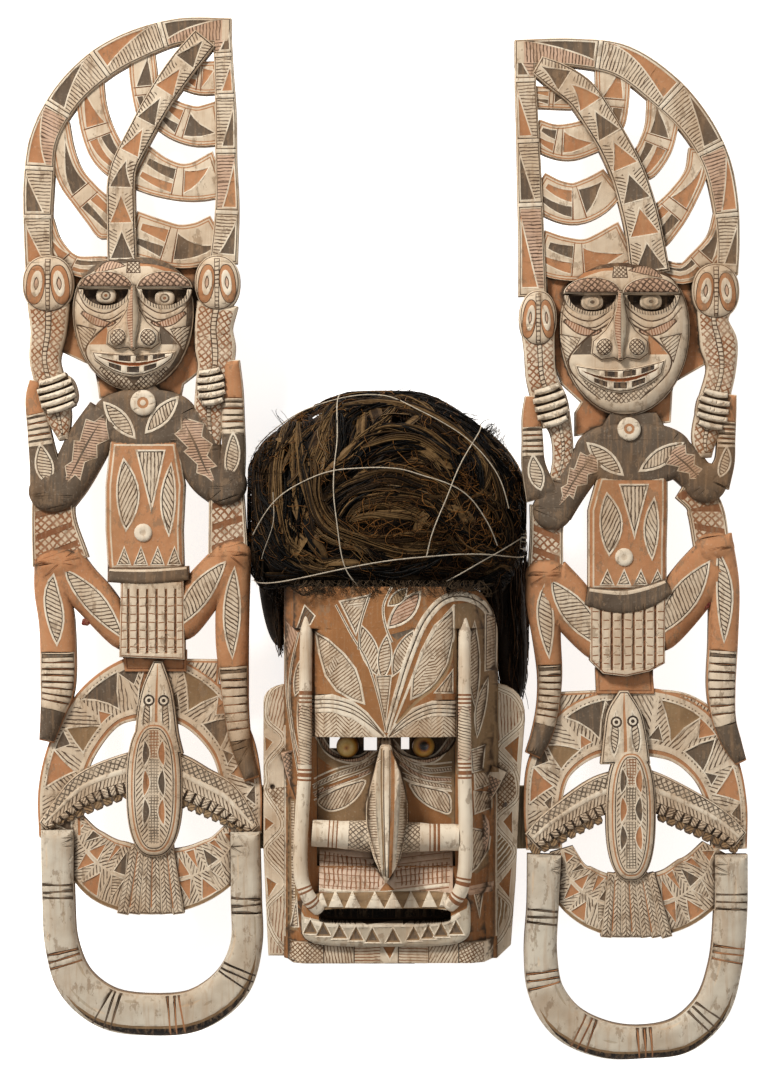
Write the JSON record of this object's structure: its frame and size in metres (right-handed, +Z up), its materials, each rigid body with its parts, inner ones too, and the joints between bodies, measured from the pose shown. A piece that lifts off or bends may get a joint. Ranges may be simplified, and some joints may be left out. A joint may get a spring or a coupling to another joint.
{
  "type": "malanggan mask",
  "caption": "Carved wooden ceremonial mask: a hollow trough-shaped face with shell eyes, a fibre wig and two tall openwork ear boards carved with figures and birds.",
  "frame": {"origin": "centre of the footprint, on the surface that the mask lies on with its back down", "axes": "+Z up, the way the face looks; +Y towards the crown, away from the chin; +X towards the ear board on the viewer's right"},
  "size_m": [0.6682, 0.9606, 0.178],
  "materials": {
    "carved_wood": "painted in cream, ochre and brown-black, matt and worn",
    "shell": "polished shell operculum",
    "fibre": "tangled plant fibre",
    "plain_wood": "plain sawn wood"
  },
  "bodies": {
    "root": {"mask": "carved_wood", "left_eye": "shell", "right_eye": "shell", "fibre_wig": "fibre", "left_ear_board": "carved_wood", "right_ear_board": "carved_wood", "left_batten": "plain_wood", "right_batten": "plain_wood"}
  },
  "joints": []
}
